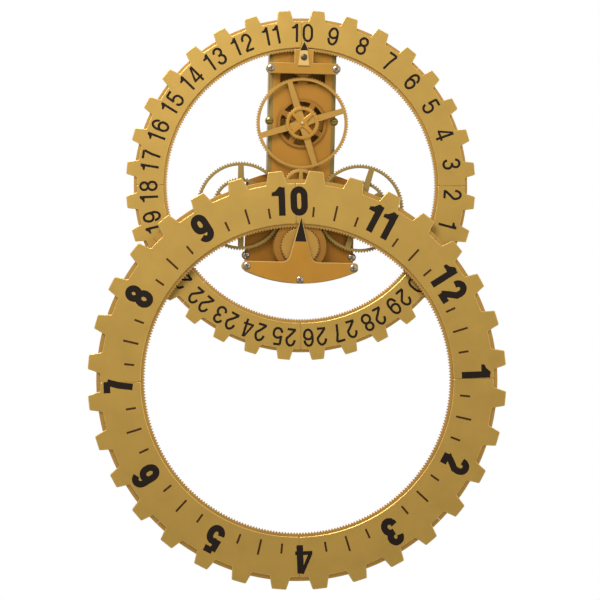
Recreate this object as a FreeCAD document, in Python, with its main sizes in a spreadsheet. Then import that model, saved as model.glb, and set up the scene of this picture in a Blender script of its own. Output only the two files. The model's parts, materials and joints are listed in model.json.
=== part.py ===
# Wall clock whose hour ring and date ring are internal gears hung on a geared mechanism
# Millimetres. The origin is the wall hook's hole, on the wall. +X is to the right, +Y into the wall, +Z up.
import FreeCAD, Part
import math
import os

doc = FreeCAD.newDocument("gear_calendar_clock")

# Driving sizes
SIZES = [
    ("hook_above_date_axis", 135),
    ("ring_axis_spacing", 270),
    ("hour_teeth", 328),
    ("hour_module", 1.29),
    ("pinion_teeth", 41),
    ("date_teeth", 310),
    ("date_module", 1.2),
    ("idler_teeth", 30),
    ("date_wheel_teeth", 106),
    ("date_drive_teeth", 40),
    ("front_gear_teeth", 38),
    ("rear_gear_teeth", 58),
    ("train_teeth", 60),
    ("side_wheel_teeth", 96),
    ("train_module", 1.27),
    ("side_gear_teeth", 60),
    ("side_gear_module", 1.3),
    ("minute_teeth", 25),
    ("minute_angle", 195),
    ("side_wheel_offset", 82.6),
    ("tooth_addendum", 0.9),
    ("tooth_dedendum", 1.25),
    ("gear_thickness", 3),
    ("rim_width", 3.2),
    ("hub_radius", 10),
    ("front_hub_radius", 6.2),
    ("spoke_root_width", 10.5),
    ("spoke_tip_width", 7.6),
    ("segment_count", 4),
    ("lugs_per_segment", 8),
    ("segment_gap", 0.4),
    ("tooth_band", 3.2),
    ("ring_face_thickness", 4),
    ("ring_back_thickness", 4),
    ("hour_face_width", 56),
    ("hour_lug_height", 17.7),
    ("hour_lug_base", 29),
    ("hour_lug_tip", 20),
    ("hour_back_rim", 5.5),
    ("hour_lug_angle", 7.35),
    ("date_face_width", 37),
    ("date_lug_height", 15),
    ("date_lug_base", 23.5),
    ("date_lug_tip", 17),
    ("date_back_rim", 4),
    ("date_lug_angle", 6.75),
    ("housing_wall", 2.5),
    ("housing_back_wall", 4),
    ("housing_inset", 1.6),
    ("cell_front_room", 3.4),
    ("body_half_width", 75.7),
    ("body_arc_radius", 184),
    ("body_top_above_drive", 23),
    ("body_bottom_below_pinion", 51.5),
    ("plate_thickness", 3),
    ("side_ear_radius", 12),
    ("side_window_radius", 31.5),
    ("column_half_width", 46.6),
    ("column_wall", 3),
    ("column_top_above_idler", 24.4),
    ("column_lap", 36),
    ("idler_window_outer", 31),
    ("idler_window_inner", 7),
    ("idler_window_low", 26),
    ("idler_window_high", 8),
    ("bearing_bar_height", 16),
    ("bearing_bar_depth", 20),
    ("bar_boss_length", 12),
    ("bridge_below_idler", 6.2),
    ("bridge_height", 15),
    ("bridge_tab_half_width", 13),
    ("bridge_tab_rise", 19),
    ("bridge_half_width", 47.7),
    ("bridge_screw_offset", 45.3),
    ("bridge_gap", 3),
    ("pointer_lap", 4.5),
    ("pointer_screw_rise", 7.8),
    ("date_pointer_length", 34.2),
    ("date_pointer_half_base", 8.6),
    ("date_arrow_length", 10),
    ("date_arrow_half_base", 5.7),
    ("date_pointer_thickness", 2.5),
    ("lower_plate_half_width", 80.2),
    ("lower_plate_top_below_pinion", 21.6),
    ("lower_plate_corner", 5),
    ("pointer_slope", 15),
    ("pointer_above_pinion", 41.7),
    ("pointer_root_fillet", 11),
    ("lower_screw_offset", 73.7),
    ("lower_screw_below_pinion", 28.6),
    ("centre_screw_rise", 5.1),
    ("body_screw_below_pinion", 13.3),
    ("side_screw_above_wheel", 3.5),
    ("side_screw_inset", 1.7),
    ("screw_head_radius", 5.2),
    ("screw_head_height", 2),
    ("screw_shank_radius", 2),
    ("screw_length", 8),
    ("pillar_radius", 5),
    ("pillar_ear_margin", 1),
    ("pillar_ring_gap", 1),
    ("screw_ear_margin", 0.8),
    ("side_ear_margin", 0.6),
    ("pointer_screw_radius", 4.6),
    ("pointer_screw_height", 1.4),
    ("body_boss_length", 16),
    ("side_boss_length", 12),
    ("arbor_radius", 2.5),
    ("pivot_reach", 1),
    ("side_arbor_reach", 2),
    ("date_arbor_reach", 2.5),
    ("drive_arbor_reach", 1.5),
    ("drive_arbor_depth", 10),
    ("bar_pivot_reach", 6),
    ("boss_radius", 5),
    ("pointer_boss_radius", 7),
    ("bearing_boss_height", 1),
    ("side_wheel_boss_length", 8),
    ("collar_radius", 6.5),
    ("running_clearance", 0.05),
    ("ring_side_clearance", 0.5),
    ("layer_gap", 1.5),
    ("wheel_gap", 0.5),
    ("side_collar_length", 2),
    ("date_layer_step", 7.5),
    ("ring_layer_gap", 8),
    ("pointer_gap", 5),
    ("end_play", 0.3),
    ("flange_thickness", 2),
    ("flange_radius", 36.8),
    ("cell_radius", 17),
    ("cell_length", 59.5),
    ("cell_nub_radius", 4.8),
    ("cell_nub_length", 2),
    ("cell_gap", 0.3),
    ("contact_leaf", 0.8),
    ("contact_half_height", 12),
    ("contact_rear_room", 4),
    ("contact_front_room", 6),
    ("bay_half_length", 67),
    ("bay_below_pinion", 10.6),
    ("bay_wall", 2.2),
    ("bay_root", 0.5),
    ("bay_front_room", 2),
    ("cover_thickness", 2.8),
    ("cover_lip", 2),
    ("cover_play", 0.3),
    ("cover_rail", 1),
    ("cover_step", 1.5),
    ("cover_overhang", 3),
    ("case_above_bay", 5),
    ("case_width", 80),
    ("case_shift", 21.5),
    ("case_headroom", 12),
    ("case_depth", 27),
    ("knob_radius", 9),
    ("knob_length", 7),
    ("knob_recess", 1),
    ("knob_head_room", 1.5),
    ("knob_access_radius", 17),
    ("keyhole_radius", 5),
    ("keyhole_slot_width", 5),
    ("keyhole_slot_length", 12),
    ("left_wheel_turn", 1),
    ("right_wheel_turn", 74),
    ("left_gear_turn", 66),
    ("right_gear_turn", 36),
    ("date_wheel_turn", 18),
    ("front_gear_turn", 45),
    ("rear_gear_turn", 60),
    ("drive_gear_turn", 90),
    ("cut_overshoot", 1),
]

# Places and radii worked out from the driving sizes
LAYOUT = [
    ("hour_pitch", "Sizes.hour_teeth * Sizes.hour_module / 2"),
    ("date_pitch", "Sizes.date_teeth * Sizes.date_module / 2"),
    ("pinion_pitch", "Sizes.pinion_teeth * Sizes.hour_module / 2"),
    ("idler_pitch", "Sizes.idler_teeth * Sizes.date_module / 2"),
    ("date_wheel_pitch", "Sizes.date_wheel_teeth * Sizes.date_module / 2"),
    ("date_drive_pitch", "Sizes.date_drive_teeth * Sizes.date_module / 2"),
    ("side_spacing", "(Sizes.side_wheel_teeth + Sizes.train_teeth) * Sizes.train_module / 2"),
    ("minute_spacing", "(Sizes.side_gear_teeth + Sizes.minute_teeth) * Sizes.side_gear_module / 2"),
    ("date_axis", "-Sizes.hook_above_date_axis"),
    ("hour_axis", "date_axis - Sizes.ring_axis_spacing"),
    ("cell_room", "2 * (Sizes.cell_radius + Sizes.cell_gap)"),
    ("housing_depth", "Sizes.housing_back_wall + cell_room + Sizes.cell_front_room"),
    ("idler_axis", "date_axis + date_pitch - idler_pitch"),
    ("date_wheel_axis", "idler_axis - idler_pitch - date_wheel_pitch"),
    ("date_drive_axis", "date_wheel_axis - date_wheel_pitch - date_drive_pitch"),
    ("pinion_axis", "hour_axis + hour_pitch - pinion_pitch"),
    ("side_axis", "pinion_axis + sqrt(side_spacing ^ 2 - Sizes.side_wheel_offset ^ 2)"),
    ("minute_across", "Sizes.side_wheel_offset + minute_spacing * cos(Sizes.minute_angle * 1 deg)"),
    ("minute_axis", "side_axis + minute_spacing * sin(Sizes.minute_angle * 1 deg)"),
    ("body_plate_depth", "housing_depth"),
    ("column_plate_depth", "body_plate_depth + Sizes.plate_thickness"),
    ("rear_gear_depth", "column_plate_depth + Sizes.plate_thickness + Sizes.wheel_gap"),
    ("side_gear_depth", "column_plate_depth + Sizes.plate_thickness + Sizes.layer_gap"),
    ("side_wheel_depth", "side_gear_depth + Sizes.gear_thickness + Sizes.side_collar_length"),
    ("date_ring_depth", "side_gear_depth + Sizes.date_layer_step"),
    ("date_face_depth", "date_ring_depth + Sizes.ring_back_thickness"),
    ("date_wheel_depth", "date_face_depth - Sizes.gear_thickness"),
    ("date_front_depth", "date_face_depth + Sizes.ring_face_thickness"),
    ("hour_ring_depth", "date_front_depth + Sizes.ring_layer_gap"),
    ("hour_face_depth", "hour_ring_depth + Sizes.ring_back_thickness"),
    ("hour_front_depth", "hour_face_depth + Sizes.ring_face_thickness"),
    ("pointer_depth", "hour_front_depth + Sizes.pointer_gap"),
    ("bridge_depth", "date_front_depth + Sizes.bridge_gap"),
    ("hour_tooth_root", "hour_pitch + Sizes.tooth_dedendum * Sizes.hour_module"),
    ("hour_face_inner", "hour_tooth_root + Sizes.tooth_band"),
    ("hour_lug_root", "hour_face_inner + Sizes.hour_face_width"),
    ("date_tooth_root", "date_pitch + Sizes.tooth_dedendum * Sizes.date_module"),
    ("date_face_inner", "date_tooth_root + Sizes.tooth_band"),
    ("date_tooth_tip", "date_pitch - Sizes.tooth_addendum * Sizes.date_module"),
    ("pillar_reach", "date_tooth_tip - Sizes.pillar_radius - Sizes.pillar_ring_gap"),
    ("lower_screw_limit", "date_axis - sqrt(pillar_reach ^ 2 - Sizes.lower_screw_offset ^ 2)"),
    ("centre_screw_limit", "date_axis - pillar_reach"),
    ("date_lug_root", "date_face_inner + Sizes.date_face_width"),
    ("body_top", "date_drive_axis + Sizes.body_top_above_drive"),
    ("body_bottom", "pinion_axis - Sizes.body_bottom_below_pinion"),
    ("top_arc_centre", "body_top - Sizes.body_arc_radius"),
    ("bottom_arc_centre", "body_bottom + Sizes.body_arc_radius"),
    ("column_low", "body_top - Sizes.column_lap"),
    ("column_high", "idler_axis + Sizes.column_top_above_idler"),
    ("lower_plate_top", "pinion_axis - Sizes.lower_plate_top_below_pinion"),
    ("lower_screw_axis", "max(pinion_axis - Sizes.lower_screw_below_pinion; lower_screw_limit)"),
    ("centre_screw_axis", "max(body_bottom + Sizes.centre_screw_rise; centre_screw_limit)"),
    ("body_screw_axis", "pinion_axis - Sizes.body_screw_below_pinion"),
    ("side_screw_axis", "date_wheel_axis + Sizes.side_screw_above_wheel"),
    ("side_screw_across", "Sizes.column_half_width - Sizes.side_screw_inset"),
    ("bridge_axis", "idler_axis - Sizes.bridge_below_idler"),
    ("bay_axis", "pinion_axis - Sizes.bay_below_pinion"),
    ("case_low", "bay_axis + Sizes.cell_radius + Sizes.bay_wall + Sizes.case_above_bay"),
    ("bearing_bore", "Sizes.arbor_radius + Sizes.running_clearance"),
]


def make_sheet(name, rows, prefix=""):
    """A sheet with one named value in each row."""
    sheet = doc.addObject("Spreadsheet::Sheet", name)
    for number, (alias, value) in enumerate(rows, start=1):
        sheet.set("A%d" % number, alias)
        sheet.set("B%d" % number, prefix + str(value))
        sheet.setAlias("B%d" % number, alias)
    return sheet


sizes = make_sheet("Sizes", SIZES)
layout = make_sheet("Layout", LAYOUT, "=")
doc.recompute()

VALUES = {alias: float(getattr(sizes, alias)) for alias, _ in SIZES}
VALUES.update({alias: float(getattr(layout, alias)) for alias, _ in LAYOUT})


def value(name):
    """The number that a named cell holds."""
    return VALUES[name]


def whole(name):
    """A named count."""
    return int(round(VALUES[name]))


def cells(formula):
    """A formula in the cells' names, with each name's sheet put before it."""
    words = []
    word = ""
    for letter in formula + " ":
        if letter.isalnum() or letter == "_":
            word += letter
            continue
        if word in dict(SIZES):
            word = "Sizes." + word
        elif word in dict(LAYOUT):
            word = "Layout." + word
        words.append(word + letter)
        word = ""
    return "".join(words).strip()


TOWARDS_VIEWER = FreeCAD.Rotation(FreeCAD.Vector(1, 0, 0), 90)
parts = {}


def keep(label, thing):
    """Name a finished sub-part."""
    thing.Label = label
    parts[label] = thing
    return thing


def place(thing, across, depth, up):
    """Bind a place: across to the right, depth out from the wall, up from the hook."""
    thing.setExpression("Placement.Base.x", cells(across))
    thing.setExpression("Placement.Base.y", cells("-(%s)" % depth))
    thing.setExpression("Placement.Base.z", cells(up))
    return thing


def rod(name, radius, rear, front, across="0", up="0"):
    """Round bar along the depth, from rear to front, both measured out from the wall."""
    bar = doc.addObject("Part::Cylinder", name)
    bar.Placement = FreeCAD.Placement(FreeCAD.Vector(), TOWARDS_VIEWER)
    bar.setExpression("Radius", cells(radius))
    bar.setExpression("Height", cells("(%s) - (%s)" % (front, rear)))
    return place(bar, across, rear, up)


def block(name, left, right, rear, front, low, high):
    """Straight block between six planes."""
    solid = doc.addObject("Part::Box", name)
    solid.setExpression("Length", cells("(%s) - (%s)" % (right, left)))
    solid.setExpression("Width", cells("(%s) - (%s)" % (front, rear)))
    solid.setExpression("Height", cells("(%s) - (%s)" % (high, low)))
    return place(solid, left, front, low)


def joined(name, *pieces):
    """One solid from several."""
    union = doc.addObject("Part::MultiFuse", name)
    union.Shapes = list(pieces)
    union.Refine = True
    return union


def shared(name, *pieces):
    """What several solids have in common."""
    common = doc.addObject("Part::MultiCommon", name)
    common.Shapes = list(pieces)
    return common


def cut(name, base, *tools):
    """A solid with other solids taken out of it."""
    tool = tools[0] if len(tools) == 1 else joined(name + "_tools", *tools)
    result = doc.addObject("Part::Cut", name)
    result.Base = base
    result.Tool = tool
    return result


def group(name, pieces):
    """Separate solids kept as one node."""
    bundle = doc.addObject("Part::Compound", name)
    bundle.Links = list(pieces)
    return bundle


def made(name, shape):
    """A sub-part whose shape comes from a formula."""
    thing = doc.addObject("Part::Feature", name)
    thing.Shape = shape
    thing.Placement = FreeCAD.Placement()
    return thing


# Toothed outlines, in the plane of the dials


def spot(radius, angle, across=0.0, up=0.0):
    """Point at an angle in radians, counter-clockwise for the viewer from +X."""
    return FreeCAD.Vector(across + radius * math.cos(angle), 0, up + radius * math.sin(angle))


def tooth_radii(teeth, module, internal=False):
    """Tip and root radius of a gear's pointed teeth."""
    side = -1 if internal else 1
    pitch = teeth * module / 2
    return (
        pitch + side * value("tooth_addendum") * module,
        pitch - side * value("tooth_dedendum") * module,
    )


def toothed_wire(teeth, module, phase):
    """Closed outline of pointed teeth with one tip at the phase angle."""
    tip, root = tooth_radii(teeth, module)
    points = []
    for number in range(teeth):
        angle = phase + 2 * math.pi * number / teeth
        points.append(spot(tip, angle))
        points.append(spot(root, angle + math.pi / teeth))
    return Part.makePolygon(points + points[:1])


def circle_wire(radius):
    """Round edge centred on the axis."""
    rim = Part.makeCircle(radius, FreeCAD.Vector(), FreeCAD.Vector(0, -1, 0))
    return Part.Wire([rim])


def arc_edge(radius, start, end):
    """Arc about the axis between two angles."""
    middle = (start + end) / 2
    return Part.Arc(spot(radius, start), spot(radius, middle), spot(radius, end)).toShape()


def spoke_windows(inner, outer, spoke_angle, count=4):
    """Openings between tapered spokes, from the hub to the rim."""
    share = inner / value("hub_radius")
    root_turn = math.asin(value("spoke_root_width") * share / 2 / inner)
    tip_turn = math.asin(value("spoke_tip_width") * share / 2 / outer)
    wires = []
    for number in range(count):
        start = spoke_angle + 2 * math.pi * number / count
        end = start + 2 * math.pi / count
        wires.append(Part.Wire([
            arc_edge(outer, start + tip_turn, end - tip_turn),
            Part.makeLine(spot(outer, end - tip_turn), spot(inner, end - root_turn)),
            arc_edge(inner, end - root_turn, start + root_turn),
            Part.makeLine(spot(inner, start + root_turn), spot(outer, start + tip_turn)),
        ]))
    return wires


def slab(wires, rear, front):
    """Flat piece with holes, between two depths."""
    face = Part.makeFace(wires, "Part::FaceMakerBullseye")
    face.translate(FreeCAD.Vector(0, -rear, 0))
    return face.extrude(FreeCAD.Vector(0, rear - front, 0))


def gear(
    name, teeth, module, phase, rear, thickness, bore,
    windows=None, hub="hub_radius", across=0.0, up=0.0, flange=None,
):
    """Gear on an axis, with a bore and, if asked for, windows between spokes or a disc behind."""
    wires = [toothed_wire(teeth, module, phase), circle_wire(bore)]
    if windows is not None:
        _, root = tooth_radii(teeth, module)
        wires += spoke_windows(value(hub), root - value("rim_width"), windows)
    shape = slab(wires, rear, rear + thickness)
    if flange is not None:
        disc_radius, disc_thickness = flange
        disc = slab([circle_wire(disc_radius), circle_wire(bore)], rear - disc_thickness, rear)
        shape = shape.fuse(disc).removeSplitter()
    thing = made(name, shape)
    thing.Placement = FreeCAD.Placement(FreeCAD.Vector(across, 0, up), FreeCAD.Rotation())
    return keep(name, thing)


def facing_phase(teeth, towards, other_phase, other_teeth):
    """Tip angle that puts a tooth gap opposite the other gear's teeth, along the line of centres.

    towards is the angle of the line from this gear to the other one.
    """
    back = towards + math.pi
    steps = (back - other_phase) * other_teeth / (2 * math.pi)
    return towards + (steps + 0.5) * 2 * math.pi / teeth


def inside_phase(teeth, towards, ring_phase, ring_teeth):
    """Tip angle that seats a pinion's teeth between those of the ring around it."""
    steps = (towards - ring_phase) * ring_teeth / (2 * math.pi)
    return towards + (steps + 0.5) * 2 * math.pi / teeth


# Rings, each four face segments over four back segments that lap their joints


def ring_back_segment(name, teeth, module, outer, start, end, rear, up):
    """Rear layer of a ring between two angles, with the fine teeth on its inner edge."""
    tip, root = tooth_radii(teeth, module, internal=True)
    half_gap = value("segment_gap") / 2
    first = start + half_gap / root
    last = end - half_gap / root
    pitch_turn = math.pi / teeth

    def edge_radius(angle):
        position = (angle / pitch_turn) % 2
        share = position if position <= 1 else 2 - position
        return tip + (root - tip) * share

    points = [spot(edge_radius(first), first)]
    for number in range(math.ceil(first / pitch_turn), math.floor(last / pitch_turn) + 1):
        points.append(spot(tip if number % 2 == 0 else root, number * pitch_turn))
    points.append(spot(edge_radius(last), last))
    edges = [Part.makeLine(near, far) for near, far in zip(points, points[1:])]
    outer_first = start + half_gap / outer
    outer_last = end - half_gap / outer
    edges.append(Part.makeLine(points[-1], spot(outer, outer_last)))
    edges.append(arc_edge(outer, outer_last, outer_first))
    edges.append(Part.makeLine(spot(outer, outer_first), points[0]))
    front = rear + value("ring_back_thickness")
    thing = made(name, slab([Part.Wire(edges)], rear, front))
    thing.Placement = FreeCAD.Placement(FreeCAD.Vector(0, 0, up), FreeCAD.Rotation())
    return keep(name, thing)


def ring_face_segment(name, inner, root, lug, start, end, rear, up):
    """Front layer of a ring between two angles, with the broad lugs on its outer edge."""
    height, base_width, tip_width = lug
    count = whole("lugs_per_segment")
    half_gap = value("segment_gap") / 2
    tip = root + height
    base_turn = math.asin(base_width / 2 / root)
    tip_turn = math.asin(tip_width / 2 / tip)
    edges = []
    previous = start + half_gap / root
    for number in range(count):
        middle = start + (end - start) * (number + 0.5) / count
        edges.append(arc_edge(root, previous, middle - base_turn))
        corners = [
            spot(root, middle - base_turn),
            spot(tip, middle - tip_turn),
            spot(tip, middle + tip_turn),
            spot(root, middle + base_turn),
        ]
        edges += [Part.makeLine(near, far) for near, far in zip(corners, corners[1:])]
        previous = middle + base_turn
    last = end - half_gap / root
    edges.append(arc_edge(root, previous, last))
    inner_first = start + half_gap / inner
    inner_last = end - half_gap / inner
    edges.append(Part.makeLine(spot(root, last), spot(inner, inner_last)))
    edges.append(arc_edge(inner, inner_last, inner_first))
    edges.append(Part.makeLine(spot(inner, inner_first), spot(root, start + half_gap / root)))
    front = rear + value("ring_face_thickness")
    thing = made(name, slab([Part.Wire(edges)], rear, front))
    thing.Placement = FreeCAD.Placement(FreeCAD.Vector(0, 0, up), FreeCAD.Rotation())
    return keep(name, thing)


def build_ring(name):
    """All segments of the hour ring or the date ring."""
    count = whole("segment_count")
    lug_turn = 2 * math.pi / (count * whole("lugs_per_segment"))
    first_seam = math.radians(value(name + "_lug_angle")) - lug_turn / 2
    turn = 2 * math.pi / count
    lug = (value(name + "_lug_height"), value(name + "_lug_base"), value(name + "_lug_tip"))
    back_outer = value(name + "_lug_root") + value(name + "_back_rim")
    for number in range(count):
        start = first_seam + number * turn
        ring_face_segment(
            "%s_ring_face_%d" % (name, number + 1),
            value(name + "_face_inner"), value(name + "_lug_root"), lug,
            start, start + turn, value(name + "_face_depth"), value(name + "_axis"),
        )
        lapped = start + turn / 2
        ring_back_segment(
            "%s_ring_back_%d" % (name, number + 1),
            whole(name + "_teeth"), value(name + "_module"), back_outer,
            lapped, lapped + turn, value(name + "_ring_depth"), value(name + "_axis"),
        )


build_ring("hour")
build_ring("date")


# Gear train. Every gear's phase follows from the one it meshes with.

UP = math.pi / 2
DOWN = -math.pi / 2
thickness = value("gear_thickness")
arbor = value("arbor_radius")
date_module = value("date_module")
train_module = value("train_module")
date_depth = value("date_ring_depth")
date_wheel_depth = value("date_wheel_depth")
side_depth = value("side_wheel_depth")
side_clearance = value("ring_side_clearance")

# Hour pinion, hung inside the top of the hour ring, whose teeth have a tip at angle 0
pinion_phase = inside_phase(whole("pinion_teeth"), UP, 0.0, whole("hour_teeth"))
gear(
    "hour_pinion", whole("pinion_teeth"), value("hour_module"), pinion_phase,
    value("hour_ring_depth") - side_clearance, value("ring_back_thickness") + 2 * side_clearance, arbor,
    up=value("pinion_axis"), flange=(value("flange_radius"), value("flange_thickness")),
)
gear(
    "hour_train_gear", whole("train_teeth"), train_module, 0.0,
    side_depth, thickness, arbor, up=value("pinion_axis"),
)

# Side wheels, left and right of the pinion, both turned by the train gear
SIDES = {
    "left": -value("side_wheel_offset"),
    "right": value("side_wheel_offset"),
}
side_gear_phase = {}
for side, across in SIDES.items():
    wheel_spokes = math.radians(value(side + "_wheel_turn"))
    gear_spokes = math.radians(value(side + "_gear_turn"))
    towards = math.atan2(value("pinion_axis") - value("side_axis"), -across)
    gear(
        side + "_wheel", whole("side_wheel_teeth"), train_module,
        facing_phase(whole("side_wheel_teeth"), towards, 0.0, whole("train_teeth")),
        side_depth, thickness, arbor, windows=wheel_spokes, across=across, up=value("side_axis"),
    )
    side_gear_phase[side] = gear_spokes
    gear(
        side + "_wheel_gear", whole("side_gear_teeth"), value("side_gear_module"), gear_spokes,
        value("side_gear_depth"), thickness, arbor, windows=gear_spokes,
        across=across, up=value("side_axis"),
    )

# Minute pinion, turned by the movement, in mesh with the right wheel's rear gear
minute_towards = math.radians(value("minute_angle")) + math.pi
gear(
    "minute_pinion", whole("minute_teeth"), value("side_gear_module"),
    facing_phase(
        whole("minute_teeth"), minute_towards, side_gear_phase["right"], whole("side_gear_teeth")
    ),
    value("side_gear_depth") - side_clearance, thickness + 2 * side_clearance, arbor,
    across=value("minute_across"), up=value("minute_axis"),
)

# Date train, from the movement up to the date ring, whose teeth have a tip at angle 0
idler_phase = inside_phase(whole("idler_teeth"), UP, 0.0, whole("date_teeth"))
gear(
    "date_idler_gear", whole("idler_teeth"), date_module, idler_phase,
    date_depth - side_clearance, value("ring_back_thickness") + 2 * side_clearance, arbor,
    up=value("idler_axis"),
)
date_wheel_phase = facing_phase(
    whole("date_wheel_teeth"), UP, idler_phase, whole("idler_teeth")
)
gear(
    "date_wheel", whole("date_wheel_teeth"), date_module, date_wheel_phase,
    date_wheel_depth, thickness, arbor, windows=math.radians(value("date_wheel_turn")),
    up=value("date_wheel_axis"),
)
gear(
    "date_wheel_front_gear", whole("front_gear_teeth"), date_module, 0.0,
    date_wheel_depth + thickness, thickness, arbor, windows=math.radians(value("front_gear_turn")),
    hub="front_hub_radius", up=value("date_wheel_axis"),
)
gear(
    "date_wheel_rear_gear", whole("rear_gear_teeth"), date_module, 0.0,
    value("rear_gear_depth"), thickness, arbor, windows=math.radians(value("rear_gear_turn")),
    up=value("date_wheel_axis"),
)
gear(
    "date_drive_gear", whole("date_drive_teeth"), date_module,
    facing_phase(whole("date_drive_teeth"), UP, date_wheel_phase, whole("date_wheel_teeth")),
    date_wheel_depth, thickness, arbor, windows=math.radians(value("drive_gear_turn")),
    hub="front_hub_radius", up=value("date_drive_axis"),
)

column_front = "column_plate_depth + plate_thickness"


def arbor_with_collars(label, rear, front, across, up, *collars):
    """Turned shaft with shoulders that space the gears on it."""
    pieces = [rod(label + "_shaft", "arbor_radius", rear, front, across, up)]
    for number, (low, high) in enumerate(collars):
        pieces.append(rod("%s_collar_%d" % (label, number), "collar_radius", low, high, across, up))
    return keep(label, joined(label + "_body", *pieces))


arbor_with_collars(
    "hour_pinion_arbor", "body_plate_depth - pivot_reach", "pointer_depth - end_play", "0", "pinion_axis",
    ("side_wheel_depth + gear_thickness", "hour_ring_depth - ring_side_clearance - flange_thickness"),
)
for side, sign in (("left", "-"), ("right", "")):
    arbor_with_collars(
        side + "_wheel_arbor", "body_plate_depth - side_wheel_boss_length - pivot_reach",
        "side_wheel_depth + gear_thickness + side_arbor_reach",
        sign + "side_wheel_offset", "side_axis",
        ("side_gear_depth + gear_thickness", "side_wheel_depth"),
    )
arbor_with_collars(
    "date_wheel_arbor", "bearing_bar_depth - bar_pivot_reach",
    "date_wheel_depth + 2 * gear_thickness + date_arbor_reach",
    "0", "date_wheel_axis",
    ("rear_gear_depth + gear_thickness", "date_wheel_depth"),
)
arbor_with_collars(
    "date_drive_arbor", "body_plate_depth - drive_arbor_depth",
    "date_wheel_depth + gear_thickness + drive_arbor_reach",
    "0", "date_drive_axis",
    (column_front + " + end_play", "date_wheel_depth"),
)
arbor_with_collars(
    "date_idler_arbor", "bearing_bar_depth - bar_pivot_reach", "bridge_depth + plate_thickness - end_play",
    "0", "idler_axis",
    (column_front + " + end_play", "date_ring_depth - ring_side_clearance"),
)
keep("minute_shaft", rod(
    "minute_shaft_bar", "arbor_radius", "housing_back_wall + knob_head_room",
    "side_gear_depth + gear_thickness + pivot_reach", "minute_across", "minute_axis",
))
keep("setting_knob", cut(
    "knob_cut",
    rod("knob_disc", "knob_radius", "knob_recess", "knob_recess + knob_length",
        "minute_across", "minute_axis"),
    rod("knob_bore", "arbor_radius", "housing_back_wall + knob_head_room",
        "knob_recess + knob_length + cut_overshoot", "minute_across", "minute_axis"),
))


# Body: a shell on the wall with the movement and two cells in it, closed by the front plate


def barrel(name, half_width, inset, rear, front):
    """Solid with straight sides and an arched top and bottom."""
    return shared(
        name,
        block(name + "_sides", "-(%s)" % half_width, half_width, rear, front, "body_bottom", "body_top"),
        rod(name + "_top", "body_arc_radius - (%s)" % inset, rear, front, "0", "top_arc_centre"),
        rod(name + "_bottom", "body_arc_radius - (%s)" % inset, rear, front, "0", "bottom_arc_centre"),
    )


BOTH = (("left", "-"), ("right", ""))
shell = barrel("shell", "body_half_width - housing_inset", "housing_inset", "0", "housing_depth")
hollow = barrel(
    "hollow", "body_half_width - housing_inset - housing_wall", "housing_inset + housing_wall",
    "housing_back_wall", "housing_depth + cut_overshoot",
)
bay_low = "bay_axis - cell_radius - cell_gap - bay_wall"
bay_high = "bay_axis + cell_radius + cell_gap + bay_wall"
bay = cut(
    "bay_frame",
    block("bay_block", "-bay_half_length", "bay_half_length", "housing_back_wall - bay_root",
          "housing_depth - bay_front_room", bay_low, bay_high),
    block("bay_space", "-(bay_half_length - bay_wall)", "bay_half_length - bay_wall",
          "0", "housing_depth", "bay_axis - cell_radius - cell_gap", "bay_axis + cell_radius + cell_gap"),
)
bosses = [
    rod(side + "_body_boss", "screw_head_radius", "housing_depth - body_boss_length", "housing_depth",
        sign + "lower_screw_offset", "body_screw_axis")
    for side, sign in BOTH
]
shell_walls = joined("shell_walls", cut("shell_hollow", shell, hollow), bay, *bosses)
cover_half = "bay_half_length - bay_wall"
cover_top = "bay_axis + cell_radius + cell_gap"
recess_deep = block(
    "recess_deep", "-(%s + cover_lip)" % cover_half, "%s + cover_lip" % cover_half,
    "cover_rail", "cover_thickness + cover_play", "body_bottom - cut_overshoot", cover_top,
)
recess_mouth = block(
    "recess_mouth", "-(%s)" % cover_half, cover_half, "-cut_overshoot", "cover_step",
    "body_bottom - cut_overshoot", cover_top,
)
battery_mouth = block(
    "battery_mouth", "-(%s)" % cover_half, cover_half, "0", "housing_back_wall + cut_overshoot",
    "bay_axis - cell_radius - cell_gap", cover_top,
)
knob_access = rod(
    "knob_access", "knob_access_radius", "-cut_overshoot", "housing_back_wall + cut_overshoot",
    "minute_across", "minute_axis",
)
boss_holes = [
    rod(side + "_boss_hole", "screw_shank_radius", "housing_depth - screw_length",
        "housing_depth + cut_overshoot", sign + "lower_screw_offset", "body_screw_axis")
    for side, sign in BOTH
]
keep("rear_housing", cut(
    "housing_cut", shell_walls, recess_deep, recess_mouth, battery_mouth, knob_access, *boss_holes,
))

cover_low = "bay_axis - cell_radius - cell_gap - bay_wall - cover_overhang"
keep("battery_cover", joined(
    "cover_plate",
    block("cover_wide", "-(%s + cover_lip - cover_play)" % cover_half,
          "%s + cover_lip - cover_play" % cover_half, "cover_rail + cover_play", "cover_thickness",
          cover_low, cover_top + " - cover_play"),
    block("cover_narrow", "-(%s - cover_play)" % cover_half, "%s - cover_play" % cover_half,
          "0", "cover_step", cover_low, cover_top + " - cover_play"),
))


def along(name, radius, left, right, depth, up):
    """Round bar across the clock, from left to right."""
    bar = doc.addObject("Part::Cylinder", name)
    bar.Placement = FreeCAD.Placement(
        FreeCAD.Vector(), FreeCAD.Rotation(FreeCAD.Vector(0, 1, 0), 90)
    )
    bar.setExpression("Radius", cells(radius))
    bar.setExpression("Height", cells("(%s) - (%s)" % (right, left)))
    return place(bar, left, depth, up)


cell_depth = "housing_back_wall + cell_gap + cell_radius"
cell_solids = []
for number, start in enumerate(("-(cell_length + cell_nub_length)", "0")):
    can = along("cell_can_%d" % number, "cell_radius", start, start + " + cell_length",
                cell_depth, "bay_axis")
    nub = along("cell_nub_%d" % number, "cell_nub_radius", start + " + cell_length",
                start + " + cell_length + cell_nub_length", cell_depth, "bay_axis")
    cell_solids.append(joined("cell_%d" % number, can, nub))
keep("battery_cells", group("cells", cell_solids))

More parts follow.
